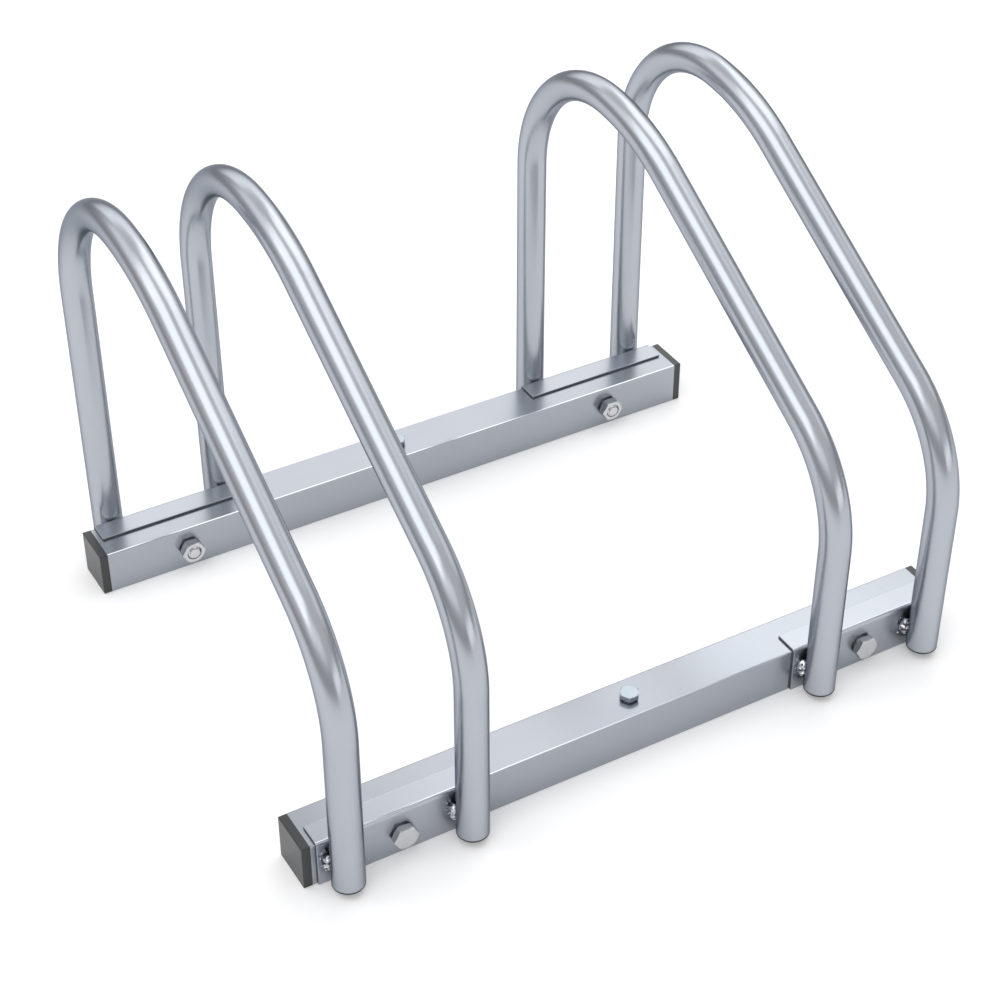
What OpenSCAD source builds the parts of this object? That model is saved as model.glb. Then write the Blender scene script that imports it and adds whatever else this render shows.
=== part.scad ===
// Floor stand for two bicycles: two square base rails, four bent tube hoops,
// four welded angle brackets, and their bolts, nuts, screws, caps and plugs.
// X runs along the rails, the front is -Y and Z is up. The origin is on the
// floor in the middle of the stand.

/* [Rails] */
// Overall length of a base rail with its two end caps
rail_length = 411; // [340:1:600]
// Side of the square rail tube
rail_side = 28; // [25:0.5:40]
// Wall of the rail tube
rail_wall = 1.5; // [1:0.1:2.5]
// Outer corner radius of the rail tube
rail_corner = 0.8; // [0.8:0.1:3]
// Distance between the centre lines of the two rails
rail_spacing = 272; // [240:1:330]

/* [Hoops] */
// Height of the crown of the hoops above the floor
stand_height = 275; // [240:1:330]
// Outer diameter of the hoop tube
tube_d = 18; // [14:0.5:22]
// Wall of the hoop tube
tube_wall = 1.2; // [0.8:0.1:2]
// Clear width of a tyre slot, from tube to tube
tyre_slot = 55; // [40:1:65]
// Gap between the floor and the foot plugs
foot_clearance = 4.5; // [1:0.5:10]

/* [Hoop bends on the centre line] */
// Radius of the crown bend that follows the upright rear leg
crown_radius = 81; // [60:1:95]
// Angle of the crown bend
crown_angle = 96; // [90:1:104]
// Straight length between the crown bend and the shoulder bend
shoulder_lead = 4; // [2:1:20]
// Radius of the gentle shoulder bend
shoulder_radius = 131; // [100:1:220]
// Angle of the shoulder bend
shoulder_angle = 24; // [14:1:32]
// Radius of the knee bend above the upright front leg
knee_radius = 77; // [50:1:100]

/* [Brackets] */
// Sheet thickness of a bracket
bracket_sheet = 1.5; // [1:0.1:3]
// Width of the flange on top of the rail, from the outer face
bracket_flange = 15.5; // [10:0.5:22]
// Length of bracket beyond the side of each tube
bracket_margin = 3.5; // [2:0.5:8]
// Distance from the capped end of a rail to the end of its bracket
bracket_inset = 7.75; // [5:0.25:20]
// What the inner bend of the sheet is tighter than the rail corner
bend_slack = 0.5; // [0.2:0.1:0.6]

/* [Welds] */
// Gap between a tube and its bracket, bridged by the weld
root_gap = 0.5; // [0.2:0.1:1]
// Radius of a weld bead
weld_radius = 3.1; // [2:0.1:3.3]
// Depth that a bead reaches into the sheet
weld_in_sheet = 0.8; // [0.5:0.1:0.9]
// Depth that the tube reaches into the round of a bead
weld_in_tube = 0.9; // [0.5:0.1:1.2]
// Length of a weld bead
weld_length = 10.5; // [7:0.5:14]
// Height of the middle of the beads above the floor
weld_height = 15; // [10:0.5:18]

/* [Bolts and nuts] */
// Diameter of a bracket bolt
bolt_d = 8; // [6:1:10]
// Width of bolt head and nut across the flats
bolt_flats = 13; // [11:1:17]
// Height of a bolt head
bolt_head = 5.3; // [4:0.1:6.4]
// Height of a nut
nut_height = 6.5; // [5:0.1:8.4]
// Length of bolt that stands out of the nut
bolt_stand_out = 0.8; // [0.4:0.1:4]
// Height of the bolts above the floor
bolt_height = 13.5; // [11:0.5:16]
// What a bolt hole is wider than its bolt
bolt_hole_play = 0.5; // [0.2:0.1:1]
// Height of the round washer face under heads and nuts
washer_face = 0.5; // [0.2:0.1:0.8]
// What the bore of a nut is wider than the bolt
thread_play = 0.2; // [0.1:0.05:0.4]

/* [Ground screws] */
// Diameter of a ground screw
screw_d = 6; // [5:1:8]
// Width of its head across the flats
screw_flats = 10; // [8:1:13]
// Height of its head
screw_head = 4; // [3:0.1:5.5]
// Gap between its tip and the floor
screw_tip_gap = 3; // [1:0.5:12]
// What a screw hole is wider than its screw
screw_hole_play = 1; // [0.5:0.1:2]

/* [Rail caps] */
// Thickness of the cap plate outside the rail
cap_plate = 5; // [2:0.5:6]
// Radius of the outer edges of the cap plate
cap_edge = 0.6; // [0.4:0.1:0.8]
// Depth of the spigot inside the rail
cap_spigot = 14; // [10:1:20]
// Wall of the hollow spigot
cap_wall = 1.6; // [1:0.1:2.5]
// Height of the ribs that grip the inside of the rail
cap_rib = 2; // [1:0.1:3]
// What the corners of the spigot are rounder than the inside of the rail
cap_corner_play = 0.5; // [0.3:0.1:1]

/* [Foot plugs] */
// Thickness of the plug rim below the tube
plug_rim = 1; // [0.8:0.1:3]
// Radius of the lower edge of the rim
plug_edge = 0.5; // [0.3:0.1:0.7]
// Depth of the spigot inside the tube
plug_spigot = 12; // [9:1:20]
// Wall of the hollow spigot
plug_wall = 1.4; // [1:0.1:2]
// Height of the ribs that grip the inside of the tube
plug_rib = 1.1; // [0.6:0.1:1.5]

/* [Ribs of caps and plugs] */
// Number of ribs along a spigot
rib_count = 3; // [2:1:4]
// Thickness of a rib
rib_sheet = 1; // [0.6:0.1:1.4]
// Gap between a rib and the tube around it
rib_play = 0.1; // [0.05:0.05:0.3]

/* [Hidden] */
// Flat sides of a circle in the preview, fewer round the long bent tubes
$fn = 96;
hoop_facets = 64;

STEEL = "#b4b8c0";
ZINC = "#c6c6c4";
PLASTIC = "#4a4e50";

// Sides of the stand, as signs of Y and X
FRONT = -1;
REAR = 1;
LEFT = -1;
RIGHT = 1;

// What a cut reaches past the thing that it cuts, and what fused pieces share
over = 1;
lap = 0.1;
// Least radius of the corners inside a rail
least_corner = 0.3;

// A bend laps into the straight parts beside it, and its wall is thinner by a
// hair on either side, so that no two round faces lie in one another
bend_lap = 0.3;
bend_hair = 0.03;

// Rails
rail_tube_length = rail_length - 2 * cap_plate;
rail_bore = rail_side - 2 * rail_wall;
rail_bore_corner = max(rail_corner - rail_wall, least_corner);

// Pairs of hoops along the rails
tube_r = tube_d / 2;
hoop_pitch = tyre_slot + tube_d;
bracket_length = hoop_pitch + tube_d + 2 * bracket_margin;
slot_x = rail_length / 2 - bracket_inset - bracket_length / 2;
outer_x = slot_x + hoop_pitch / 2;
inner_x = slot_x - hoop_pitch / 2;

// Faces from the middle of the stand outwards
rail_inner_y = rail_spacing / 2 - rail_side / 2;
rail_outer_y = rail_spacing / 2 + rail_side / 2;
bracket_y = rail_outer_y + bracket_sheet;
leg_y = bracket_y + root_gap + tube_r;

// Section of a bracket
bracket_top = rail_side + bracket_sheet;
bend_inner = rail_corner - bend_slack;
bend_outer = bend_inner + bracket_sheet;

// Side view of a hoop. The ramp is its straight part between shoulder and knee.
ramp_angle = crown_angle + shoulder_angle;
knee_angle = 180 - ramp_angle;
crown_depth = crown_radius * (1 - cos(crown_angle)) + shoulder_lead * sin(crown_angle);
shoulder_depth = shoulder_radius * (cos(crown_angle) - cos(ramp_angle));
knee_depth = knee_radius * (1 - cos(knee_angle));
ramp_length = (2 * leg_y - crown_depth - shoulder_depth - knee_depth) / sin(ramp_angle);
rear_leg_top = stand_height - tube_r - crown_radius;
shoulder_top = rear_leg_top + crown_radius * sin(crown_angle) + shoulder_lead * cos(crown_angle);
ramp_top = shoulder_top - shoulder_radius * (sin(crown_angle) - sin(ramp_angle));
knee_top = ramp_top + ramp_length * cos(ramp_angle);
front_leg_top = knee_top - knee_radius * sin(knee_angle);
tube_foot = foot_clearance + plug_rim;

// A hoop from its rear foot to its front foot. A straight part is [length],
// a bend is [radius, angle].
HOOP_RUN = [
    [rear_leg_top - tube_foot],
    [crown_radius, crown_angle],
    [shoulder_lead],
    [shoulder_radius, shoulder_angle],
    [ramp_length],
    [knee_radius, knee_angle],
    [front_leg_top - tube_foot]
];

// Middle of a weld bead, seen from above: its distance from the sheet, and
// from the middle of the tube along the sheet
weld_off_sheet = weld_radius - weld_in_sheet;
weld_off_tube = tube_r + weld_radius - weld_in_tube;
weld_side = sqrt(pow(weld_off_tube, 2) - pow(tube_r + root_gap - weld_off_sheet, 2));
weld_ripples = 4;
weld_step = (weld_length - 2 * weld_radius) / (weld_ripples - 1);

// Fasteners
bolt_length = bracket_sheet + rail_side + nut_height + bolt_stand_out;
screw_length = rail_side - screw_tip_gap;
bolt_hole_d = bolt_d + bolt_hole_play;
tip_chamfer = 0.8;

// Hexagons are turned down at both ends by a cone. The share of their width
// across the flats is that of the turned face and that of the washer face.
turned_share = 1.06;
turned_slope = 30;
washer_share = 0.95;

// Spigots of the caps and plugs
cap_corner = rail_bore_corner + cap_corner_play;
cap_rib_side = rail_bore - 2 * rib_play;
cap_core_side = cap_rib_side - 2 * cap_rib;
plug_rib_r = tube_r - tube_wall - rib_play;
plug_core_r = plug_rib_r - plug_rib;

// Moves a piece modelled for the front side to the side that is named
module on_side(side) {
    mirror([0, side == REAR ? 1 : 0, 0])
        children();
}

// Square with rounded corners, its middle at the origin
module rounded_square(side, corner) {
    inner = side - 2 * corner;
    square([side, inner], center = true);
    square([inner, side], center = true);
    for (x = [-1, 1])
        for (y = [-1, 1])
            translate([x, y] * inner / 2)
                circle(corner);
}

// Bar with that section, along +X from the origin
module square_bar(side, corner, length) {
    rotate([90, 0, 90])
        linear_extrude(length)
            rounded_square(side, corner);
}

// Cone that turns down the top corners of a hexagon
module turning_cone(flats, height) {
    top_d = turned_share * flats;
    cylinder(h = height, d1 = top_d + 2 * height / tan(turned_slope), d2 = top_d);
}

// Hexagon on a round washer face, a corner pointing along X
module hex_block(flats, height) {
    hexagon = height - washer_face;
    cylinder(h = washer_face + lap, d = washer_share * flats);
    translate([0, 0, washer_face])
        intersection() {
            cylinder(h = hexagon, d = flats / cos(30), $fn = 6);
            turning_cone(flats, hexagon);
            translate([0, 0, hexagon])
                mirror([0, 0, 1])
                    turning_cone(flats, hexagon);
        }
}

// Hex bolt along Z, its head above the origin and its shank below
module hex_bolt(d, flats, head, length) {
    hex_block(flats, head);
    translate([0, 0, tip_chamfer - length])
        cylinder(h = length - tip_chamfer, d = d);
    translate([0, 0, -length])
        cylinder(h = tip_chamfer, d1 = d - 2 * tip_chamfer, d2 = d);
}

// Hex nut along +Z from the origin
module hex_nut(d, flats, height) {
    difference() {
        hex_block(flats, height);
        translate([0, 0, -over])
            cylinder(h = height + 2 * over, d = d);
    }
}

// Section of the hoop tube
module tube_section(hair = 0) {
    difference() {
        circle(tube_r - hair);
        circle(tube_r - tube_wall + hair);
    }
}

// Tube that starts at the origin along +Z and bends towards -Y
module tube_run(run, part = 0) {
    if (part < len(run)) {
        if (len(run[part]) == 1) {
            length = run[part][0];
            linear_extrude(length)
                tube_section();
            translate([0, 0, length])
                tube_run(run, part + 1);
        } else {
            radius = run[part][0];
            angle = run[part][1];
            lap_angle = asin(bend_lap / radius);
            translate([0, -radius, 0])
                rotate([90, 0, 90])
                    rotate_extrude(start = -lap_angle, angle = angle + 2 * lap_angle)
                        translate([radius, 0])
                            tube_section(bend_hair);
            translate([0, -radius, 0])
                rotate([angle, 0, 0])
                    translate([0, radius, 0])
                        tube_run(run, part + 1);
        }
    }
}

// Side outline of a cap plate, its outer edges rounded
module cap_outline() {
    translate([0, -rail_side / 2])
        square([cap_plate - cap_edge, rail_side]);
    translate([0, cap_edge - rail_side / 2])
        square([cap_plate, rail_side - 2 * cap_edge]);
    for (y = [-1, 1])
        translate([cap_plate - cap_edge, y * (rail_side / 2 - cap_edge)])
            circle(cap_edge);
}

// Half section of a foot plug, from the rim up
module plug_outline() {
    rib_step = (plug_spigot - rib_sheet) / rib_count;
    difference() {
        union() {
            square([tube_r - plug_edge, plug_rim]);
            translate([0, plug_edge])
                square([tube_r, plug_rim - plug_edge]);
            translate([tube_r - plug_edge, plug_edge])
                circle(plug_edge);
            square([plug_core_r, plug_rim + plug_spigot]);
            for (i = [1:rib_count])
                translate([0, plug_rim + i * rib_step])
                    square([plug_rib_r, rib_sheet]);
        }
        translate([-over, plug_rim])
            square([plug_core_r - plug_wall + over, plug_spigot + over]);
    }
}

// Section of a front bracket, seen along the rail
module bracket_section() {
    translate([-bracket_y, 0])
        square([bracket_sheet, bracket_top - bend_outer]);
    translate([bend_outer - bracket_y, rail_side])
        square([bracket_flange - bend_outer, bracket_sheet]);
    translate([bend_outer - bracket_y, bracket_top - bend_outer])
        intersection() {
            difference() {
                circle(bend_outer);
                circle(bend_inner);
            }
            translate([-bend_outer, 0])
                square(bend_outer);
        }
}

// Weld bead on one flank of a front leg whose middle is at x, cut to the tube
module weld_bead(x, flank) {
    difference() {
        for (i = [0:weld_ripples - 1])
            translate([
                x + flank * weld_side,
                -bracket_y - weld_off_sheet,
                weld_height - weld_length / 2 + weld_radius + i * weld_step
            ])
                sphere(weld_radius);
        translate([x, -leg_y, 0])
            cylinder(h = bracket_top, r = tube_r);
    }
}

module rail(side) {
    color(STEEL)
        translate([0, side * rail_spacing / 2, rail_side / 2])
            difference() {
                translate([-rail_tube_length / 2, 0, 0])
                    square_bar(rail_side, rail_corner, rail_tube_length);
                translate([-rail_tube_length / 2 - over, 0, 0])
                    square_bar(rail_bore, rail_bore_corner, rail_tube_length + 2 * over);
                for (end = [LEFT, RIGHT])
                    translate([end * slot_x, 0, bolt_height - rail_side / 2])
                        rotate([90, 0, 0])
                            cylinder(h = rail_side + 2 * over, d = bolt_hole_d, center = true);
                cylinder(h = rail_side + 2 * over, d = screw_d + screw_hole_play, center = true);
            }
}

module rail_cap(side, end) {
    rib_step = (cap_spigot - rib_sheet) / rib_count;
    color(PLASTIC)
        translate([end * rail_tube_length / 2, side * rail_spacing / 2, rail_side / 2])
            mirror([end == LEFT ? 1 : 0, 0, 0]) {
                intersection() {
                    square_bar(rail_side, rail_corner, cap_plate);
                    linear_extrude(rail_side, center = true)
                        cap_outline();
                    rotate([90, 0, 0])
                        linear_extrude(rail_side, center = true)
                            cap_outline();
                }
                difference() {
                    union() {
                        translate([-cap_spigot, 0, 0])
                            square_bar(cap_core_side, cap_corner, cap_spigot);
                        for (i = [1:rib_count])
                            translate([-i * rib_step - rib_sheet, 0, 0])
                                square_bar(cap_rib_side, cap_corner, rib_sheet);
                    }
                    translate([-cap_spigot - over, 0, 0])
                        square_bar(cap_core_side - 2 * cap_wall, rail_bore_corner, cap_spigot + over);
                }
            }
}

module hoop(x) {
    color(STEEL)
        translate([x, leg_y, tube_foot])
            tube_run(HOOP_RUN, $fn = hoop_facets);
}

module bracket(side, end) {
    color(STEEL)
        on_side(side)
            translate([end * slot_x, 0, 0]) {
                difference() {
                    translate([-bracket_length / 2, 0, 0])
                        rotate([90, 0, 90])
                            linear_extrude(bracket_length)
                                bracket_section();
                    translate([0, -rail_outer_y, bolt_height])
                        rotate([90, 0, 0])
                            cylinder(h = 2 * (bracket_sheet + over), d = bolt_hole_d, center = true);
                }
                for (leg = [LEFT, RIGHT])
                    for (flank = [LEFT, RIGHT])
                        weld_bead(leg * hoop_pitch / 2, flank);
            }
}

module bracket_bolts() {
    color(ZINC)
        for (side = [FRONT, REAR])
            for (end = [LEFT, RIGHT])
                on_side(side)
                    translate([end * slot_x, -bracket_y, bolt_height])
                        rotate([90, 0, 0])
                            hex_bolt(bolt_d, bolt_flats, bolt_head, bolt_length);
}

module bracket_nuts() {
    color(ZINC)
        for (side = [FRONT, REAR])
            for (end = [LEFT, RIGHT])
                on_side(side)
                    translate([end * slot_x, -rail_inner_y, bolt_height])
                        rotate([-90, 0, 0])
                            hex_nut(bolt_d + thread_play, bolt_flats, nut_height);
}

module ground_screws() {
    color(ZINC)
        for (side = [FRONT, REAR])
            translate([0, side * rail_spacing / 2, rail_side])
                hex_bolt(screw_d, screw_flats, screw_head, screw_length);
}

module foot_plug(x, side) {
    color(PLASTIC)
        translate([x, side * leg_y, foot_clearance])
            rotate_extrude()
                plug_outline();
}

rail(FRONT);  // front_rail
rail(REAR);  // rear_rail
rail_cap(FRONT, LEFT);  // front_left_rail_cap
rail_cap(FRONT, RIGHT);  // front_right_rail_cap
rail_cap(REAR, LEFT);  // rear_left_rail_cap
rail_cap(REAR, RIGHT);  // rear_right_rail_cap
hoop(-outer_x);  // left_outer_hoop
hoop(-inner_x);  // left_inner_hoop
hoop(inner_x);  // right_inner_hoop
hoop(outer_x);  // right_outer_hoop
bracket(FRONT, LEFT);  // front_left_bracket
bracket(FRONT, RIGHT);  // front_right_bracket
bracket(REAR, LEFT);  // rear_left_bracket
bracket(REAR, RIGHT);  // rear_right_bracket
bracket_bolts();
bracket_nuts();
ground_screws();
foot_plug(-outer_x, FRONT);  // left_outer_front_plug
foot_plug(-inner_x, FRONT);  // left_inner_front_plug
foot_plug(inner_x, FRONT);  // right_inner_front_plug
foot_plug(outer_x, FRONT);  // right_outer_front_plug
foot_plug(-outer_x, REAR);  // left_outer_rear_plug
foot_plug(-inner_x, REAR);  // left_inner_rear_plug
foot_plug(inner_x, REAR);  // right_inner_rear_plug
foot_plug(outer_x, REAR);  // right_outer_rear_plug
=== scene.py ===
# Floor stand for two bicycles in a white studio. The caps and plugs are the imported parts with
# their finishes. The rails, bent tubes, bracket sheets, weld beads, bolts, nuts and screws are
# modelled here.
import bpy
import bmesh
import math
import random
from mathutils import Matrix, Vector


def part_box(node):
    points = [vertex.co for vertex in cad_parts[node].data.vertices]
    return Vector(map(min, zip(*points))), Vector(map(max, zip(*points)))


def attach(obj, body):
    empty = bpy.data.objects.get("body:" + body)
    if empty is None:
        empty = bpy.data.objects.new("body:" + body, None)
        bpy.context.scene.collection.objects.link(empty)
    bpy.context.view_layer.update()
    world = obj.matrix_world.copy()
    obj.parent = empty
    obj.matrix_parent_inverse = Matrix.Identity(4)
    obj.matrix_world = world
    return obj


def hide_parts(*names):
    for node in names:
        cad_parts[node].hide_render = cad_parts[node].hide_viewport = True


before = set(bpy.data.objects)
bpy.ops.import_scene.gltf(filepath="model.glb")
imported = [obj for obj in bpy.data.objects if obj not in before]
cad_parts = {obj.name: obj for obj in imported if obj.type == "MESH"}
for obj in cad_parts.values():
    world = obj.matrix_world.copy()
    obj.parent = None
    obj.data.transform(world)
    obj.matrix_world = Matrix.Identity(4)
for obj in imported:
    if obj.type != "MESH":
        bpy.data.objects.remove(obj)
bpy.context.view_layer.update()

MM = 0.001
DEGREE = math.pi / 180
QUARTER_TURN = 90 * DEGREE
LAID_ALONG_Y = (QUARTER_TURN, 0, 0)

# All new pieces: shading, rounded edges and drilled holes
SMOOTH_BELOW = 24 * DEGREE
SHARP_ABOVE = 60 * DEGREE
ROUND_SEGMENTS = 3
DRILL_SIDES = 64
MERGE_WITHIN = 0.0005 * MM
LEVEL_WITHIN = 0.001 * MM

# Rail: wall, rounding of its corners, which keep two flat facets each, and the ground screw's hole
RAIL_WALL = 1.5 * MM
RAIL_CORNER = 0.75 * MM
RAIL_FACETS = 2
RAIL_SMOOTH_BELOW = 20 * DEGREE
RAIL_HOLE_D = 7 * MM

# Hoop tube: its wall, and its bends on the centre line
TUBE_WALL = 1.2 * MM
CROWN_RADIUS = 81 * MM
CROWN_ANGLE = 96 * DEGREE
SHOULDER_LEAD = 4 * MM
SHOULDER_RADIUS = 131 * MM
SHOULDER_ANGLE = 24 * DEGREE
KNEE_RADIUS = 77 * MM
TUBE_SIDES = 72
BEND_STEP = 2 * DEGREE
COLLAR = 1 * MM
TUBE_END_ROUND = 0.3 * MM

# Bracket: outer radius of the fold, the rounding that shearing leaves along cut edges, and the
# hole that its bolt passes, as wide in the rail
FOLD_RADIUS = 2.2 * MM
FOLD_STEPS = 8
CUT_EDGE_ROUND = 0.45 * MM
BOLT_HOLE_D = 8.5 * MM

# Hexagons: slope of the turned ends, and the washer face as a share of the width across the flats
TURNED_SLOPE = 27 * DEGREE
TURNED_SIDES = 96
WASHER_SHARE = 0.8
WASHER_FACE = 1.2 * MM
FLAT_EDGE_ROUND = 0.25 * MM

# Bracket bolts M8 with their nuts, and ground screws M6. Their coarse threads are cut to a share of
# the pitch, and leave the very tip bare.
BOLT_D = 8 * MM
BOLT_FLATS = 13 * MM
BOLT_HEAD = 5.3 * MM
BOLT_PITCH = 1.25 * MM
BOLT_THREAD = 20 * MM
BOLT_PAST_NUT = 0.8 * MM
NUT_HEIGHT = 6.5 * MM
NUT_BORE = 8.2 * MM
NUT_MOUTH = 9.2 * MM
NUT_MOUTH_DEEP = 0.7 * MM
SCREW_D = 6 * MM
SCREW_FLATS = 10 * MM
SCREW_HEAD = 4 * MM
SCREW_PITCH = 1 * MM
SCREW_THREAD = 18 * MM
SHANK_SIDES = 48
TIP_ROUND = 0.3 * MM
TIP_BARE = 0.4 * MM
THREAD_DEPTH = 0.61
THREAD_STEPS = 24

# Weld beads, in the corners between each tube and its bracket. A ripple swells the bead by a share
# of its radius, each ring wanders sideways by up to so many millimetres, and the ends stay blunt.
# The skin is then crumpled.
WELD_RADIUS = 3.3 * MM
WELD_LENGTH = 11 * MM
WELD_HEIGHT = 16.5 * MM
WELD_FROM_TUBE = 7.4 * MM
WELD_FROM_SHEET = 2.3 * MM
WELD_SIDES = 20
WELD_RINGS = 28
WELD_RIPPLES = 4
WELD_SWELL = 0.1
WELD_WANDER = 0.12
WELD_BLUNT = 0.05
CRUMPLE_SIZE = 2.2 * MM
CRUMPLE_DEPTH = 1.0 * MM

# Balls of spatter: how many to a bead, and their distance from it and radius in millimetres. They
# fan out to both sides of level, stretched upwards, and none lies past the edge of the sheet.
SPATTER_COUNT = 4
SPATTER_AWAY = (3.2, 5.5)
SPATTER_RADIUS = (0.25, 0.55)
SPATTER_FAN = 60
SPATTER_STRETCH = 1.6
SPATTER_REACH = 3.2 * MM


def middle(node):
    low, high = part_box(node)
    return (Vector(low) + Vector(high)) / 2


def corner_radius(flats):
    """From the centre of a hexagon to its corners."""
    return flats / 2 / math.cos(30 * DEGREE)


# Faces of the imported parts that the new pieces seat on
RAIL_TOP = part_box("front_rail")[1][2]
RAIL_INNER_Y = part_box("rear_rail")[0][1]
RAIL_OUTER_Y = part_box("rear_rail")[1][1]
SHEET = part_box("front_left_bracket")[1][2] - RAIL_TOP
SHEET_Y = RAIL_OUTER_Y + SHEET
BOLTS_LOW, BOLTS_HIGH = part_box("bracket_bolts")
BOLT_X = BOLTS_HIGH[0] - corner_radius(BOLT_FLATS)
BOLT_Z = (BOLTS_LOW[2] + BOLTS_HIGH[2]) / 2
BOLT_LENGTH = BOLTS_HIGH[1] - BOLT_HEAD - (RAIL_INNER_Y - NUT_HEIGHT) + BOLT_PAST_NUT
SCREW_Y = middle("rear_rail").y
SCREW_LENGTH = RAIL_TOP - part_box("ground_screws")[0][2]

# Plated steel: size of the clouds in the plating, how far they tint it and shift its roughness,
# and the relief of the lines left by drawing or rolling
CLOUD_SIZE = 35 * MM
CLOUD_TINT = (0.965, 1.03)
CLOUD_SHIFT = 0.02
LINE_RELIEF = 0.01 * MM

# Torn, darker cut edges and painted edge highlights, by how far the surface faces sideways or up,
# where 1 is straight
TORN_FACING = (0.9, 0.95)
TORN_ROUGHNESS = 0.5
RAISED_FACING = (0.6, 0.75)
LEVEL_FACING = (0.985, 0.965)
EDGE_HIGHLIGHT_ROUGHNESS = 0.14

# Fasteners, weld metal and plastics: sizes of their patterns, and the depth of their relief. The
# real grain of the mould is about 0.1 mm, and is drawn coarser so that it shows.
MOTTLE_SIZE = 2.5 * MM
MOTTLE_TINT = (0.9, 1.05)
MOTTLE_RELIEF = 0.02 * MM
PUDDLE_SIZE = 1.8 * MM
PUDDLE_HOLLOW = (0.36, 0.54)
PUDDLE_RELIEF = 0.4 * MM
MOULD_GRAIN = 0.6 * MM
MOULD_RELIEF = 0.05 * MM
DULL_CLOUD = 9 * MM
DULL_SHIFT = 0.04


def linear(code):
    """sRGB hex colour as the linear RGBA that the shader sockets take."""
    parts = [int(code[i:i + 2], 16) / 255 for i in (1, 3, 5)]
    return [c / 12.92 if c <= 0.04045 else ((c + 0.055) / 1.055) ** 2.4 for c in parts] + [1]


def add(tree, kind, settings=None, **links):
    """Adds a node. Settings go to its inputs by name or number, or else to its properties."""
    node = tree.nodes.new(kind)
    for key, value in (settings or {}).items():
        if isinstance(key, int) or key in node.inputs:
            node.inputs[key].default_value = value
        else:
            setattr(node, key, value)
    for key, source in links.items():
        name = int(key[1:]) if key[0] == "_" and key[1:].isdigit() else key.replace("_", " ")
        tree.links.new(source, node.inputs[name])
    return node


def new_material(name):
    material = bpy.data.materials.new(name)
    material.use_nodes = True
    tree = material.node_tree
    tree.nodes.clear()
    return material, tree


def satin_zinc(name, colour, edge, roughness, grain, sheared=None, painted_edge_highlight=False):
    """Drawn or rolled steel, bright zinc plated: a soft silver sheen, with faint clouds in the
    plating and fainter lines along the way that the steel was drawn. Grain is the size of these
    lines in millimetres along X, Y and Z; real ones are finer, and wouldn't show. Sheared is 1 or
    -1, the way along Y that a cut edge faces: there and at the two ends along X the steel is torn,
    dull and darker. The last flag paints a highlight on the upper half of rounded edges, paler
    and glossier than the rest."""
    material, tree = new_material(name)
    place = add(tree, "ShaderNodeTexCoord")
    clouds = add(tree, "ShaderNodeTexNoise", {"Scale": 1 / CLOUD_SIZE, "Detail": 1.0},
                 Vector=place.outputs["Object"])
    tint = add(tree, "ShaderNodeMapRange", {"To Min": CLOUD_TINT[0], "To Max": CLOUD_TINT[1]},
               Value=clouds.outputs["Fac"])
    plated = add(tree, "ShaderNodeMix",
                 {"data_type": "RGBA", "blend_type": "MULTIPLY", 0: 1.0, 6: linear(colour)},
                 _7=tint.outputs["Result"])
    colour_out = plated.outputs[2]
    shine = add(tree, "ShaderNodeMapRange",
                {"To Min": roughness - CLOUD_SHIFT, "To Max": roughness + CLOUD_SHIFT},
                Value=clouds.outputs["Fac"])
    rough_out = shine.outputs["Result"]
    # Cut edges and the ends along X: darker colour, duller surface
    if sheared is not None:
        facing = add(tree, "ShaderNodeSeparateXYZ", Vector=place.outputs["Normal"])
        end = add(tree, "ShaderNodeMath", {"operation": "ABSOLUTE"}, _0=facing.outputs["X"])
        side = add(tree, "ShaderNodeMath", {"operation": "MULTIPLY", 1: sheared},
                   _0=facing.outputs["Y"])
        cut = add(tree, "ShaderNodeMath", {"operation": "MAXIMUM"},
                  _0=end.outputs["Value"], _1=side.outputs["Value"])
        cut = add(tree, "ShaderNodeMapRange",
                  {"From Min": TORN_FACING[0], "From Max": TORN_FACING[1]},
                  Value=cut.outputs["Value"])
        torn = add(tree, "ShaderNodeMix", {"data_type": "RGBA", 7: linear(SHEARED_COLOUR)},
                   _0=cut.outputs["Result"], _6=colour_out)
        dull = add(tree, "ShaderNodeMix", {"data_type": "FLOAT", 3: TORN_ROUGHNESS},
                   _0=cut.outputs["Result"], _2=rough_out)
        colour_out = torn.outputs[2]
        rough_out = dull.outputs[0]
    # Upper half of rounded edges: a painted highlight, paler and glossier
    if painted_edge_highlight:
        facing = add(tree, "ShaderNodeSeparateXYZ", Vector=place.outputs["Normal"])
        raised = add(tree, "ShaderNodeMapRange",
                     {"From Min": RAISED_FACING[0], "From Max": RAISED_FACING[1]},
                     Value=facing.outputs["Z"])
        level = add(tree, "ShaderNodeMapRange",
                    {"From Min": LEVEL_FACING[0], "From Max": LEVEL_FACING[1]},
                    Value=facing.outputs["Z"])
        edges = add(tree, "ShaderNodeMath", {"operation": "MULTIPLY"},
                    _0=raised.outputs["Result"], _1=level.outputs["Result"])
        highlighted = add(tree, "ShaderNodeMix", {"data_type": "RGBA", 7: linear(EDGE_HIGHLIGHT_COLOUR)},
                       _0=edges.outputs["Value"], _6=colour_out)
        slick = add(tree, "ShaderNodeMix", {"data_type": "FLOAT", 3: EDGE_HIGHLIGHT_ROUGHNESS},
                    _0=edges.outputs["Value"], _2=rough_out)
        colour_out = highlighted.outputs[2]
        rough_out = slick.outputs[0]
    stretch = add(tree, "ShaderNodeMapping", {"Scale": [1 / (size * MM) for size in grain]},
                  Vector=place.outputs["Object"])
    lines = add(tree, "ShaderNodeTexNoise", {"Scale": 1.0, "Detail": 2.0},
                Vector=stretch.outputs["Vector"])
    relief = add(tree, "ShaderNodeBump", {"Strength": 0.15, "Distance": LINE_RELIEF},
                 Height=lines.outputs["Fac"])
    # The specular tint paints a dark reflection where the metal is seen at a slant
    surface = add(tree, "ShaderNodeBsdfPrincipled",
                  {"Metallic": 1.0, "Specular Tint": linear(edge)},
                  Base_Color=colour_out, Roughness=rough_out, Normal=relief.outputs["Normal"])
    add(tree, "ShaderNodeOutputMaterial", Surface=surface.outputs["BSDF"])
    return material


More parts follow.
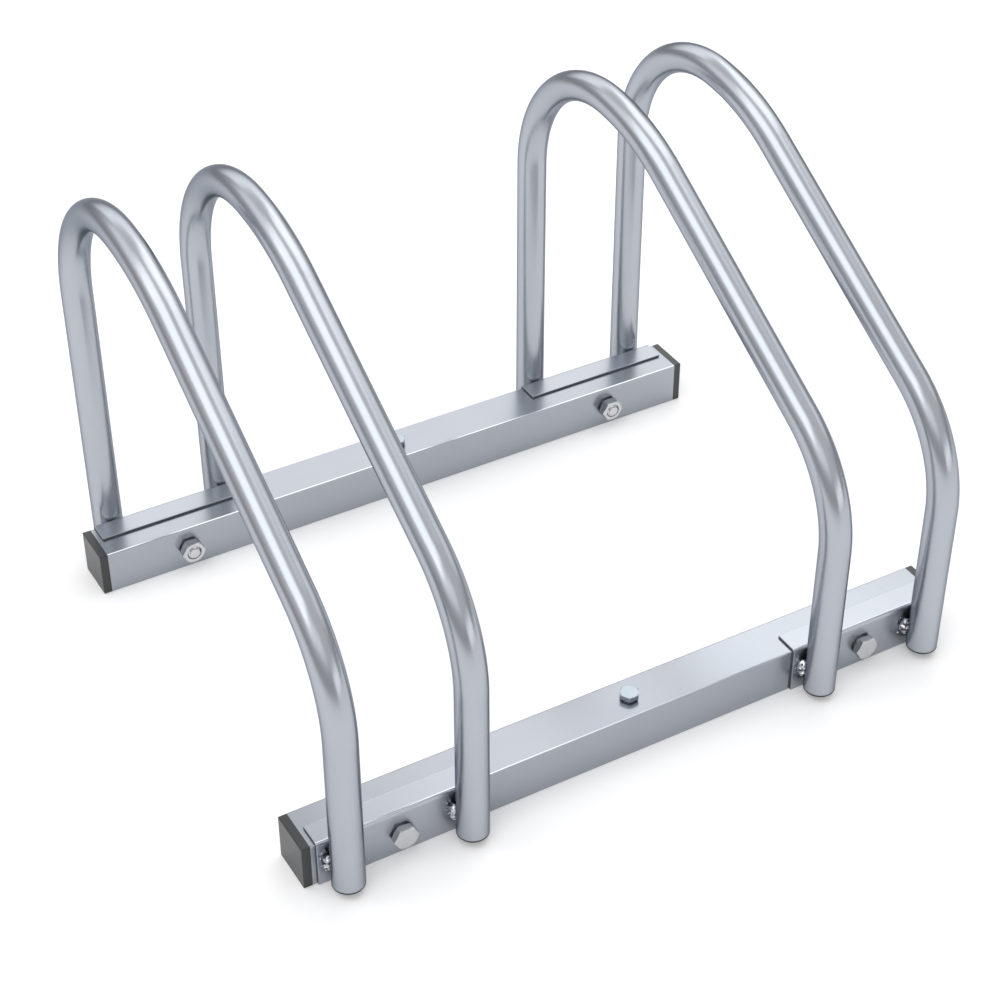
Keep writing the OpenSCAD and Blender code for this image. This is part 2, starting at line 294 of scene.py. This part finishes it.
def bright_zinc(name, colour, roughness):
    """Cold-headed steel, zinc plated and passivated: brighter than the tubes, with a fine
    mottle."""
    material, tree = new_material(name)
    place = add(tree, "ShaderNodeTexCoord").outputs["Object"]
    mottle = add(tree, "ShaderNodeTexNoise", {"Scale": 1 / MOTTLE_SIZE, "Detail": 3.0},
                 Vector=place)
    tint = add(tree, "ShaderNodeMapRange", {"To Min": MOTTLE_TINT[0], "To Max": MOTTLE_TINT[1]},
               Value=mottle.outputs["Fac"])
    base = add(tree, "ShaderNodeMix",
               {"data_type": "RGBA", "blend_type": "MULTIPLY", 0: 1.0, 6: linear(colour)},
               _7=tint.outputs["Result"])
    relief = add(tree, "ShaderNodeBump", {"Strength": 0.2, "Distance": MOTTLE_RELIEF},
                 Height=mottle.outputs["Fac"])
    # The specular tint paints a dark reflection where the metal is seen at a slant
    surface = add(tree, "ShaderNodeBsdfPrincipled",
                  {"Metallic": 1.0, "Roughness": roughness, "Specular Tint": linear(EDGE_TINT)},
                  Base_Color=base.outputs[2], Normal=relief.outputs["Normal"])
    add(tree, "ShaderNodeOutputMaterial", Surface=surface.outputs["BSDF"])
    return material


def weld_metal(name, bright, soot, roughness):
    """Weld metal under the plating: glossy, crumpled ripples with soot left in the hollows."""
    material, tree = new_material(name)
    place = add(tree, "ShaderNodeTexCoord").outputs["Object"]
    crumple = add(tree, "ShaderNodeTexNoise", {"Scale": 1 / PUDDLE_SIZE, "Detail": 1.0},
                  Vector=place)
    hollow = add(tree, "ShaderNodeMapRange",
                 {"From Min": PUDDLE_HOLLOW[0], "From Max": PUDDLE_HOLLOW[1]},
                 Value=crumple.outputs["Fac"])
    base = add(tree, "ShaderNodeMix", {"data_type": "RGBA", 6: linear(soot), 7: linear(bright)},
               _0=hollow.outputs["Result"])
    relief = add(tree, "ShaderNodeBump", {"Strength": 0.4, "Distance": PUDDLE_RELIEF},
                 Height=crumple.outputs["Fac"])
    # The specular tint paints a dark reflection where the metal is seen at a slant
    surface = add(tree, "ShaderNodeBsdfPrincipled",
                  {"Metallic": 1.0, "Roughness": roughness, "Specular Tint": linear(EDGE_TINT)},
                  Base_Color=base.outputs[2], Normal=relief.outputs["Normal"])
    add(tree, "ShaderNodeOutputMaterial", Surface=surface.outputs["BSDF"])
    return material


def black_plastic(name, colour, ior, roughness):
    """Injection-moulded plastic: black and half matt, with the fine grain of a spark-eroded
    mould, and pale where it is seen aslant."""
    material, tree = new_material(name)
    place = add(tree, "ShaderNodeTexCoord").outputs["Object"]
    grain = add(tree, "ShaderNodeTexNoise", {"Scale": 1 / MOULD_GRAIN, "Detail": 2.0},
                Vector=place)
    cloud = add(tree, "ShaderNodeTexNoise", {"Scale": 1 / DULL_CLOUD, "Detail": 2.0},
                Vector=place)
    dull = add(tree, "ShaderNodeMapRange",
               {"To Min": roughness - DULL_SHIFT, "To Max": roughness + DULL_SHIFT},
               Value=cloud.outputs["Fac"])
    relief = add(tree, "ShaderNodeBump", {"Strength": 0.12, "Distance": MOULD_RELIEF},
                 Height=grain.outputs["Fac"])
    surface = add(tree, "ShaderNodeBsdfPrincipled", {"Base Color": linear(colour), "IOR": ior},
                  Roughness=dull.outputs["Result"], Normal=relief.outputs["Normal"])
    add(tree, "ShaderNodeOutputMaterial", Surface=surface.outputs["BSDF"])
    return material


# At a slant the tint makes the metal mirror less, which paints a dark reflection along the
# tubes' edges. The flat faces of rails and sheets get far less of this painted darkening.
EDGE_TINT = "#A0A4AA"
FLAT_EDGE_TINT = "#DADDE2"
SHEARED_COLOUR = "#74797F"
# Paler colour of the painted highlight on rounded edges
EDGE_HIGHLIGHT_COLOUR = "#CDD0D6"
TUBE_ZINC = "#B6BAC1"
# Darker copy of the tubes' zinc: painted shade for the shadowed floor that the rails' fronts mirror
SHADED_RAIL_ZINC = "#ABAFB6"
SHEET_ZINC = "#B2B6BD"

# Rails and front sheets carry a painted highlight along their rounded edges
RAIL = satin_zinc("zinc_plated_box_section", SHADED_RAIL_ZINC, FLAT_EDGE_TINT, roughness=0.26,
                  grain=(90, 0.7, 0.7), painted_edge_highlight=True)
TUBE = satin_zinc("zinc_plated_drawn_tube", TUBE_ZINC, EDGE_TINT, roughness=0.25,
                  grain=(0.7, 90, 90))
FRONT_SHEET = satin_zinc("zinc_plated_front_sheet", SHEET_ZINC, FLAT_EDGE_TINT, roughness=0.28,
                         grain=(90, 0.8, 0.8), sheared=1.0, painted_edge_highlight=True)
REAR_SHEET = satin_zinc("zinc_plated_rear_sheet", SHEET_ZINC, FLAT_EDGE_TINT, roughness=0.28,
                        grain=(90, 0.8, 0.8), sheared=-1.0)
FASTENER = bright_zinc("passivated_zinc_fastener", "#D4D5D7", roughness=0.24)
SCREW = bright_zinc("blue_zinc_screw", "#B1BAC2", roughness=0.24)
WELD = weld_metal("zinc_plated_weld_metal", bright="#DADDE1", soot="#4E5258", roughness=0.16)
CAP_PLASTIC = black_plastic("moulded_black_polyethylene", "#1F2427", ior=1.62, roughness=0.34)
PLUG_PLASTIC = black_plastic("moulded_black_vinyl", "#141516", ior=1.45, roughness=0.55)

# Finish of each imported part, by the last word of its name
FINISHES = {"rail": RAIL, "hoop": TUBE, "cap": CAP_PLASTIC, "plug": PLUG_PLASTIC,
            "bolts": FASTENER, "nuts": FASTENER, "screws": SCREW}
for name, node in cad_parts.items():
    kind = name.split("_")[-1]
    if kind == "bracket":
        finish = FRONT_SHEET if name.startswith("front") else REAR_SHEET
    else:
        finish = FINISHES[kind]
    node.data.materials.clear()
    node.data.materials.append(finish)


def only(piece):
    """Makes a piece the active and only selected object."""
    bpy.ops.object.select_all(action="DESELECT")
    piece.select_set(True)
    bpy.context.view_layer.objects.active = piece


def begin(primitive, **settings):
    """Adds a primitive with nothing else selected, its place in its mesh."""
    bpy.ops.object.select_all(action="DESELECT")
    primitive(**settings)
    bpy.ops.object.transform_apply(location=True, rotation=True, scale=True)
    return bpy.context.object


def modify(piece, kind, **settings):
    """Adds a modifier, sets it and applies it."""
    only(piece)
    modifier = piece.modifiers.new(kind.lower(), kind)
    for key, value in settings.items():
        setattr(modifier, key, value)
    bpy.ops.object.modifier_apply(modifier=modifier.name)


def outward(piece):
    """Merges doubled points and turns every face outwards."""
    only(piece)
    bpy.ops.object.mode_set(mode="EDIT")
    bpy.ops.mesh.select_all(action="SELECT")
    bpy.ops.mesh.remove_doubles(threshold=MERGE_WITHIN)
    bpy.ops.mesh.normals_make_consistent(inside=False)
    bpy.ops.object.mode_set(mode="OBJECT")


def pick_edges(test):
    """In edit mode, selects the edges whose two ends pass the test, and nothing else."""
    bpy.ops.mesh.select_all(action="DESELECT")
    bpy.ops.mesh.select_mode(type="EDGE")
    shape = bmesh.from_edit_mesh(bpy.context.object.data)
    for edge in shape.edges:
        edge.select = test(edge.verts[0].co, edge.verts[1].co)
    bmesh.update_edit_mesh(bpy.context.object.data)


def cut_with(piece, tool, operation):
    """Cuts a piece with another one, or fuses them. The other one is used up."""
    modify(piece, "BOOLEAN", operation=operation, object=tool, solver="EXACT")
    bpy.data.objects.remove(tool)


def drill(piece, d, depth, place, turn=(0, 0, 0), sides=DRILL_SIDES):
    """Drills a round hole right through a piece, with a drill whose middle is at the place."""
    tool = begin(bpy.ops.mesh.primitive_cylinder_add, vertices=sides, radius=d / 2, depth=depth,
                 location=place, rotation=turn)
    cut_with(piece, tool, "DIFFERENCE")


def join(pieces):
    """Joins pieces into the first of them."""
    only(pieces[0])
    for piece in pieces:
        piece.select_set(True)
    bpy.ops.object.join()
    return pieces[0]


def place_copy(pattern, turn, shift):
    """Copy of a pattern with its own mesh, turned and moved within it."""
    only(pattern)
    bpy.ops.object.duplicate(linked=False)
    piece = bpy.context.object
    piece.rotation_euler = turn
    piece.location = shift
    bpy.ops.object.transform_apply(location=True, rotation=True, scale=True)
    return piece


def dress(piece, name, finish, node, smooth_below=SMOOTH_BELOW):
    """Names and shades a finished piece, gives it its finish, and lets it ride on the stand in
    place of its node."""
    piece.name = name
    piece.data.name = name
    only(piece)
    bpy.ops.object.shade_smooth_by_angle(angle=smooth_below)
    # Broad faces keep their own flat shading beside narrow rounded edges
    modify(piece, "WEIGHTED_NORMAL", keep_sharp=True)
    piece.data.materials.clear()
    piece.data.materials.append(finish)
    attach(piece, "root")
    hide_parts(node)


def bent_hoop(node):
    """Hoop bent from one tube: a ring is drawn up the rear leg, over the crown, down the ramp and
    down the front leg."""
    low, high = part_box(node)
    tube_r = (high[0] - low[0]) / 2
    depth = high[1] - low[1] - 2 * tube_r
    turned = CROWN_ANGLE + SHOULDER_ANGLE
    knee_angle = math.pi - turned
    # The ramp and the legs take what the bends leave of the depth and the height
    rear_leg = high[2] - low[2] - tube_r - CROWN_RADIUS
    bends_depth = (CROWN_RADIUS * (1 - math.cos(CROWN_ANGLE))
                   + SHOULDER_LEAD * math.sin(CROWN_ANGLE)
                   + SHOULDER_RADIUS * (math.cos(CROWN_ANGLE) - math.cos(turned))
                   + KNEE_RADIUS * (1 - math.cos(knee_angle)))
    ramp = (depth - bends_depth) / math.sin(turned)
    front_leg = (rear_leg + CROWN_RADIUS * math.sin(CROWN_ANGLE)
                 + SHOULDER_LEAD * math.cos(CROWN_ANGLE)
                 - SHOULDER_RADIUS * (math.sin(CROWN_ANGLE) - math.sin(turned))
                 + ramp * math.cos(turned) - KNEE_RADIUS * math.sin(knee_angle))
    # Straight parts by their length, and bends by their radius and angle
    run = [(rear_leg, 0), (CROWN_RADIUS, CROWN_ANGLE), (SHOULDER_LEAD, 0),
           (SHOULDER_RADIUS, SHOULDER_ANGLE), (ramp, 0), (KNEE_RADIUS, knee_angle),
           (front_leg, 0)]
    place = Vector(((low[0] + high[0]) / 2, high[1] - tube_r, low[2]))
    hoop = begin(bpy.ops.mesh.primitive_circle_add, vertices=TUBE_SIDES, radius=tube_r,
                 location=place)
    bpy.ops.object.mode_set(mode="EDIT")
    bpy.ops.mesh.select_all(action="SELECT")
    heading = 0
    for size, angle in run:
        inward = Vector((0, -math.cos(heading), -math.sin(heading)))
        ahead = Vector((0, -math.sin(heading), math.cos(heading)))
        if angle:
            centre = place + inward * size
            # The operator counts its angle the other way round the axis
            bpy.ops.mesh.spin(steps=round(angle / BEND_STEP), angle=-angle, center=centre,
                              axis=(1, 0, 0))
            heading += angle
            place = centre + Vector((0, math.cos(heading), math.sin(heading))) * size
        else:
            # Rings close to both ends keep the shading of the straight part even
            for step in (COLLAR, size - 2 * COLLAR, COLLAR):
                bpy.ops.mesh.extrude_edges_move(TRANSFORM_OT_translate={"value": ahead * step})
            place = place + ahead * size
    bpy.ops.object.mode_set(mode="OBJECT")
    outward(hoop)
    modify(hoop, "SOLIDIFY", thickness=TUBE_WALL, offset=-1, use_even_offset=True)
    modify(hoop, "BEVEL", width=TUBE_END_ROUND, segments=ROUND_SEGMENTS, limit_method="ANGLE",
           angle_limit=SHARP_ABOVE)
    dress(hoop, node + "_tube", TUBE, node)


def square_rail(node):
    """Base rail: one end of the box section with its rounded corners, drawn along X, walled
    inwards and drilled through for two bracket bolts and the ground screw."""
    low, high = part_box(node)
    centre = middle(node)
    rail_width = high[1] - low[1]
    rail_height = high[2] - low[2]
    piece = begin(bpy.ops.mesh.primitive_plane_add, size=rail_height,
                  location=(low[0], centre.y, centre.z), rotation=(0, QUARTER_TURN, 0))
    bpy.ops.object.mode_set(mode="EDIT")
    bpy.ops.mesh.select_all(action="SELECT")
    bpy.ops.mesh.bevel(offset=RAIL_CORNER, segments=RAIL_FACETS, affect="VERTICES")
    bpy.ops.mesh.delete(type="ONLY_FACE")
    bpy.ops.mesh.select_all(action="SELECT")
    bpy.ops.mesh.extrude_edges_move(TRANSFORM_OT_translate={"value": (high[0] - low[0], 0, 0)})
    bpy.ops.object.mode_set(mode="OBJECT")
    outward(piece)
    modify(piece, "SOLIDIFY", thickness=RAIL_WALL, offset=-1, use_even_offset=True)
    for end in (-1, 1):
        drill(piece, BOLT_HOLE_D, 2 * rail_width, (end * BOLT_X, centre.y, BOLT_Z), LAID_ALONG_Y)
    drill(piece, RAIL_HOLE_D, 4 * rail_height, (0, centre.y, 0))
    dress(piece, node + "_section", RAIL, node, RAIL_SMOOTH_BELOW)


def folded_bracket(node, side):
    """Bracket sheet: the outer face of the wing is drawn round the fold and along the flange, and
    gets its thickness inwards. Side is 1 at the rear and -1 at the front."""
    low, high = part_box(node)
    wing_top = high[2] - FOLD_RADIUS
    flange_edge = low[1] if side > 0 else high[1]
    fold_y = side * (SHEET_Y - FOLD_RADIUS)
    piece = begin(bpy.ops.mesh.primitive_plane_add, size=1, rotation=LAID_ALONG_Y)
    piece.scale = (high[0] - low[0], 1, wing_top)
    piece.location = ((low[0] + high[0]) / 2, side * SHEET_Y, wing_top / 2)
    only(piece)
    bpy.ops.object.transform_apply(location=True, rotation=True, scale=True)
    bpy.ops.object.mode_set(mode="EDIT")
    pick_edges(lambda a, b: min(a.z, b.z) > wing_top - LEVEL_WITHIN)
    bpy.ops.mesh.spin(steps=FOLD_STEPS, angle=-side * QUARTER_TURN, axis=(1, 0, 0),
                      center=(0, fold_y, wing_top))
    bpy.ops.mesh.extrude_edges_move(
        TRANSFORM_OT_translate={"value": (0, flange_edge - fold_y, 0)})
    bpy.ops.object.mode_set(mode="OBJECT")
    outward(piece)
    # The sheet is still open, so its faces may have been turned towards the rail
    if piece.data.polygons[0].normal.y * side < 0:
        piece.data.flip_normals()
    modify(piece, "SOLIDIFY", thickness=SHEET, offset=-1, use_even_offset=True)
    modify(piece, "BEVEL", width=CUT_EDGE_ROUND, segments=ROUND_SEGMENTS, limit_method="ANGLE",
           angle_limit=SHARP_ABOVE)
    drill(piece, BOLT_HOLE_D, 4 * SHEET,
          (math.copysign(BOLT_X, low[0]), side * SHEET_Y, BOLT_Z), LAID_ALONG_Y)
    dress(piece, node + "_sheet", REAR_SHEET if side > 0 else FRONT_SHEET, node)


def hexagon(flats, height):
    """Hexagon up from the origin on its round washer face, corners along X and turned down at
    both ends."""
    tall = height - WASHER_FACE
    heart = (0, 0, WASHER_FACE + tall / 2)
    piece = begin(bpy.ops.mesh.primitive_cylinder_add, vertices=6, radius=corner_radius(flats),
                  depth=tall, location=heart, rotation=(0, 0, QUARTER_TURN))
    bpy.ops.object.mode_set(mode="EDIT")
    pick_edges(lambda a, b: abs(a.z - b.z) > tall / 2)
    bpy.ops.mesh.bevel(offset=FLAT_EDGE_ROUND, segments=ROUND_SEGMENTS, affect="EDGES")
    bpy.ops.object.mode_set(mode="OBJECT")
    face_r = flats / 2
    wide_r = face_r + tall / math.tan(TURNED_SLOPE)
    for lower_r, upper_r in ((wide_r, face_r), (face_r, wide_r)):
        cone = begin(bpy.ops.mesh.primitive_cone_add, vertices=TURNED_SIDES, radius1=lower_r,
                     radius2=upper_r, depth=tall, location=heart)
        cut_with(piece, cone, "INTERSECT")
    # The seat starts at the washer face and ends inside the hexagon
    seat = begin(bpy.ops.mesh.primitive_cylinder_add, vertices=TURNED_SIDES,
                 radius=WASHER_SHARE * flats / 2, depth=2 * WASHER_FACE,
                 location=(0, 0, WASHER_FACE))
    cut_with(piece, seat, "UNION")
    return piece


def thread(d, pitch, length, tip):
    """Ridge of a right-hand thread that starts at the tip and climbs along Z. Its section is an
    equal-sided triangle, one and a half radii deep from the crest."""
    crest = d / 2
    root = crest - THREAD_DEPTH * pitch
    radius = (crest - root) / 1.5
    ridge = begin(bpy.ops.mesh.primitive_circle_add, vertices=3, radius=radius,
                  location=(crest - radius, 0, tip), rotation=(QUARTER_TURN, QUARTER_TURN, 0))
    modify(ridge, "SCREW", axis="Z", screw_offset=pitch, iterations=int(length / pitch),
           steps=THREAD_STEPS, render_steps=THREAD_STEPS, use_merge_vertices=False)
    bpy.ops.object.mode_set(mode="EDIT")
    bpy.ops.mesh.select_all(action="SELECT")
    bpy.ops.mesh.fill_holes(sides=3)
    bpy.ops.object.mode_set(mode="OBJECT")
    outward(ridge)
    return ridge


def bolt(d, flats, head, length, pitch, thread_length):
    """Hex bolt along Z, its head above the origin: plain shank, threaded part and rounded tip."""
    core_r = d / 2 - THREAD_DEPTH * pitch
    plain = length - thread_length
    shank = begin(bpy.ops.mesh.primitive_cylinder_add, vertices=SHANK_SIDES, radius=d / 2,
                  depth=plain, location=(0, 0, -plain / 2))
    core = begin(bpy.ops.mesh.primitive_cylinder_add, vertices=SHANK_SIDES, radius=core_r,
                 depth=thread_length, location=(0, 0, thread_length / 2 - length))
    bpy.ops.object.mode_set(mode="EDIT")
    pick_edges(lambda a, b: max(a.z, b.z) < LEVEL_WITHIN - length)
    bpy.ops.mesh.bevel(offset=TIP_ROUND, segments=ROUND_SEGMENTS, affect="EDGES")
    bpy.ops.object.mode_set(mode="OBJECT")
    ridge = thread(d, pitch, thread_length - pitch, TIP_BARE - length)
    return join([hexagon(flats, head), shank, core, ridge])


def nut(flats, height, bore, mouth, mouth_deep):
    """Hex nut up from the origin, its bore opened to a small funnel at the far end."""
    piece = hexagon(flats, height)
    drill(piece, bore, 3 * height, (0, 0, 0), sides=TURNED_SIDES)
    # The funnel is cut with a cone that runs past the mouth at both ends by the mouth's depth
    slope = (mouth - bore) / 2 / mouth_deep
    funnel = begin(bpy.ops.mesh.primitive_cone_add, vertices=TURNED_SIDES,
                   radius1=bore / 2 - slope * mouth_deep,
                   radius2=mouth / 2 + slope * mouth_deep, depth=3 * mouth_deep,
                   location=(0, 0, height - mouth_deep / 2))
    cut_with(piece, funnel, "DIFFERENCE")
    return piece


def fastener_set(pattern, name, finish, node, places):
    """Copies of a fastener at their places, as one piece in place of its node."""
    copies = [place_copy(pattern, turn, shift) for turn, shift in places]
    bpy.data.objects.remove(pattern)
    dress(join(copies), name, finish, node)


def weld_bead(place, flank, chance):
    """One short bead laid upwards: a round section drawn up ring by ring, that swells and shrinks
    with each ripple of the weld and wanders a little, with a few balls of spatter on the sheet
    beside it. Flank is the side of the tube that it lies on, 1 or -1 along X."""
    def ring_radius(ring):
        share = 2 * ring / WELD_RINGS - 1
        ripple = 1 + WELD_SWELL * math.sin(2 * math.pi * WELD_RIPPLES * ring / WELD_RINGS)
        return WELD_RADIUS * ripple * math.sqrt(max(1 - share ** 2, WELD_BLUNT))
    now = place - Vector((0, 0, WELD_LENGTH / 2))
    bead = begin(bpy.ops.mesh.primitive_circle_add, vertices=WELD_SIDES, radius=ring_radius(0),
                 fill_type="NGON", location=now)
    bpy.ops.object.mode_set(mode="EDIT")
    bpy.ops.mesh.select_all(action="SELECT")
    for ring in range(1, WELD_RINGS + 1):
        step = Vector((chance.uniform(-WELD_WANDER, WELD_WANDER) * MM,
                       chance.uniform(-WELD_WANDER, WELD_WANDER) * MM,
                       WELD_LENGTH / WELD_RINGS))
        bpy.ops.mesh.extrude_region_move(TRANSFORM_OT_translate={"value": step})
        now = now + step
        growth = ring_radius(ring) / ring_radius(ring - 1)
        bpy.ops.transform.resize(value=(growth, growth, 1), center_override=now)
    bpy.ops.object.mode_set(mode="OBJECT")
    outward(bead)
    pieces = [bead]
    for _ in range(SPATTER_COUNT):
        away = chance.uniform(*SPATTER_AWAY) * MM
        angle = chance.uniform(-SPATTER_FAN, SPATTER_FAN) * DEGREE
        aside = min(away * math.cos(angle), SPATTER_REACH)
        spot = Vector((place.x + flank * aside,
                       place.y + math.copysign(WELD_FROM_SHEET, -place.y),
                       place.z + SPATTER_STRETCH * away * math.sin(angle)))
        pieces.append(begin(bpy.ops.mesh.primitive_ico_sphere_add, subdivisions=2,
                            radius=chance.uniform(*SPATTER_RADIUS) * MM, location=spot))
    return pieces


def bracket_welds(bracket, side, legs):
    """The four beads between a bracket and the two legs that it carries."""
    chance = random.Random(bracket)
    pieces = []
    for leg in legs:
        for flank in (-1, 1):
            place = Vector((leg.x + flank * WELD_FROM_TUBE, side * (SHEET_Y + WELD_FROM_SHEET),
                            WELD_HEIGHT))
            pieces += weld_bead(place, flank, chance)
    crumpled = bpy.data.textures.new(bracket + "_crumple", "CLOUDS")
    crumpled.noise_scale = CRUMPLE_SIZE
    piece = join(pieces)
    modify(piece, "SUBSURF", levels=1, render_levels=1)
    modify(piece, "DISPLACE", texture=crumpled, texture_coords="LOCAL", strength=CRUMPLE_DEPTH,
           mid_level=0.5)
    dress(piece, bracket + "_welds", WELD, bracket)


for rail_node in ("front_rail", "rear_rail"):
    square_rail(rail_node)

for hoop_node in [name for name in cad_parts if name.endswith("_hoop")]:
    bent_hoop(hoop_node)

# Turns that point a fastener's head to the front, -1, or to the rear, 1
HEAD_TO = {-1: (QUARTER_TURN, 0, 0), 1: (-QUARTER_TURN, 0, 0)}
CORNERS = [(end, side) for end in (-1, 1) for side in (-1, 1)]
fastener_set(bolt(BOLT_D, BOLT_FLATS, BOLT_HEAD, BOLT_LENGTH, BOLT_PITCH, BOLT_THREAD),
             "bracket_bolts_m8", FASTENER, "bracket_bolts",
             [(HEAD_TO[side], (end * BOLT_X, side * SHEET_Y, BOLT_Z)) for end, side in CORNERS])
fastener_set(nut(BOLT_FLATS, NUT_HEIGHT, NUT_BORE, NUT_MOUTH, NUT_MOUTH_DEEP),
             "bracket_nuts_m8", FASTENER, "bracket_nuts",
             [(HEAD_TO[-side], (end * BOLT_X, side * RAIL_INNER_Y, BOLT_Z))
              for end, side in CORNERS])
fastener_set(bolt(SCREW_D, SCREW_FLATS, SCREW_HEAD, SCREW_LENGTH, SCREW_PITCH, SCREW_THREAD),
             "ground_screws_m6", SCREW, "ground_screws",
             [((0, 0, 0), (0, side * SCREW_Y, RAIL_TOP)) for side in (-1, 1)])

for end in ("left", "right"):
    legs = [middle(end + "_outer_hoop"), middle(end + "_inner_hoop")]
    for face, side in (("front", -1), ("rear", 1)):
        bracket = face + "_" + end + "_bracket"
        folded_bracket(bracket, side)
        bracket_welds(bracket, side, legs)

# Camera: an 80 mm lens, a little over a metre away, at the photograph's angle
CAMERA_AT = Vector((-508.8, -878.3, 851.25)) * MM
CAMERA_AIM = Vector((-19.6, -28.6, 100.0)) * MM
lens = bpy.data.cameras.new("camera")
lens.lens = 79.85
lens.sensor_width = 36
camera = bpy.data.objects.new("camera", lens)
camera.location = CAMERA_AT
camera.rotation_euler = (CAMERA_AIM - CAMERA_AT).to_track_quat("-Z", "Y").to_euler()
bpy.context.scene.collection.objects.link(camera)
bpy.context.scene.camera = camera

# Levels of the studio, where 1 is the white of the picture
FLOOR_LIFT = 0.19
FAR_FLOOR_LIFT = 0.7
MIRRORED_LIFT = 0.11
WALL_GREY = 0.42
CEILING_GREY = 0.78
LEFT_LEVEL = 1.2
RIGHT_LEVEL = 1.3
FRONT_CARD_LEVEL = 1.15
LOW_CARD_LEVEL = 0.42
BACK_CARD_LEVEL = 0.85

# Its sizes in metres, and the height at which the walls turn into the ceiling, where 1 is overhead
FLOOR_SIZE = 40
NEAR_FLOOR = 0.7
FAR_FLOOR = 1.8
LAMP_DISTANCE = 2.4
STAND_MIDDLE = Vector((0, 0, 120)) * MM
WALL_TOP = 0.1
CEILING_EDGE = 0.6

# White floor. Its own white is added for what the camera and the metal see of it, and its shadows
# stay. Far from the stand, where the lamps don't reach, more of it is added.
floor = begin(bpy.ops.mesh.primitive_plane_add, size=FLOOR_SIZE)
floor.name = "studio_floor"
floor_paint, tree = new_material("white_paper")
rays = add(tree, "ShaderNodeLightPath")
mirrored = add(tree, "ShaderNodeMath", {"operation": "MAXIMUM"},
               _0=rays.outputs["Is Glossy Ray"], _1=rays.outputs["Is Transmission Ray"])
mirrored = add(tree, "ShaderNodeMath", {"operation": "MULTIPLY", 1: MIRRORED_LIFT},
               _0=mirrored.outputs["Value"])
spot = add(tree, "ShaderNodeTexCoord").outputs["Object"]
away = add(tree, "ShaderNodeVectorMath", {"operation": "LENGTH"}, _0=spot)
white = add(tree, "ShaderNodeMapRange",
            {"interpolation_type": "SMOOTHSTEP", "From Min": NEAR_FLOOR, "From Max": FAR_FLOOR,
             "To Min": FLOOR_LIFT, "To Max": FAR_FLOOR_LIFT}, Value=away.outputs["Value"])
seen = add(tree, "ShaderNodeMath", {"operation": "MULTIPLY"},
           _0=rays.outputs["Is Camera Ray"], _1=white.outputs["Result"])
lift = add(tree, "ShaderNodeMath", {"operation": "ADD"},
           _0=seen.outputs["Value"], _1=mirrored.outputs["Value"])
paper = add(tree, "ShaderNodeBsdfDiffuse", {"Color": linear("#EDEDEE")})
glow = add(tree, "ShaderNodeEmission", {"Color": linear("#FFFFFF")},
           Strength=lift.outputs["Value"])
both = add(tree, "ShaderNodeAddShader", _0=paper.outputs["BSDF"], _1=glow.outputs["Emission"])
add(tree, "ShaderNodeOutputMaterial", Surface=both.outputs["Shader"])
floor.data.materials.append(floor_paint)

# Studio around the stand: grey walls, a paler ceiling, and white where the camera looks past the
# floor
world = bpy.data.worlds.new("studio")
bpy.context.scene.world = world
world.use_nodes = True
tree = world.node_tree
tree.nodes.clear()
way = add(tree, "ShaderNodeTexCoord").outputs["Generated"]
height = add(tree, "ShaderNodeSeparateXYZ", Vector=way)
rise = add(tree, "ShaderNodeMapRange",
           {"interpolation_type": "SMOOTHSTEP", "From Min": WALL_TOP, "From Max": CEILING_EDGE,
            "To Min": WALL_GREY, "To Max": CEILING_GREY}, Value=height.outputs["Z"])
rays = add(tree, "ShaderNodeLightPath")
level = add(tree, "ShaderNodeMix", {"data_type": "FLOAT", 3: 1.0},
            _0=rays.outputs["Is Camera Ray"], _2=rise.outputs["Result"])
sky = add(tree, "ShaderNodeBackground", {"Color": linear("#FFFFFF")}, Strength=level.outputs[0])
add(tree, "ShaderNodeOutputWorld", Surface=sky.outputs["Background"])


def softbox(name, azimuth, elevation, width, tall, brightness):
    """Lamp aimed at the stand. Azimuth turns from +Y towards +X; all angles are in degrees, and
    width and tall are how large the lamp looks from the stand."""
    turn = azimuth * DEGREE
    lean = elevation * DEGREE
    way = Vector((math.sin(turn) * math.cos(lean), math.cos(turn) * math.cos(lean),
                  math.sin(lean)))
    light = bpy.data.lights.new(name, "AREA")
    light.shape = "RECTANGLE"
    light.size = 2 * LAMP_DISTANCE * math.tan(width / 2 * DEGREE)
    light.size_y = 2 * LAMP_DISTANCE * math.tan(tall / 2 * DEGREE)
    light.energy = brightness * math.pi * light.size * light.size_y
    lamp = bpy.data.objects.new(name, light)
    lamp.location = STAND_MIDDLE + way * LAMP_DISTANCE
    lamp.rotation_euler = (-way).to_track_quat("-Z", "Y").to_euler()
    bpy.context.scene.collection.objects.link(lamp)


# Azimuth, elevation, width, height and level of each lamp
softbox("left_softbox", -98, 60, 54, 38, LEFT_LEVEL)
softbox("right_softbox", 60, 60, 36, 38, RIGHT_LEVEL)
softbox("front_right_card", 156, 9, 40, 14, FRONT_CARD_LEVEL)
softbox("left_front_card", -145, 38, 50, 24, LOW_CARD_LEVEL)
softbox("left_back_card", -50, 40, 36, 22, LOW_CARD_LEVEL)
softbox("right_low_card", 86, 32, 50, 24, LOW_CARD_LEVEL)
softbox("back_card", 20, 31, 56, 32, BACK_CARD_LEVEL)

bpy.context.scene.view_settings.view_transform = "Standard"
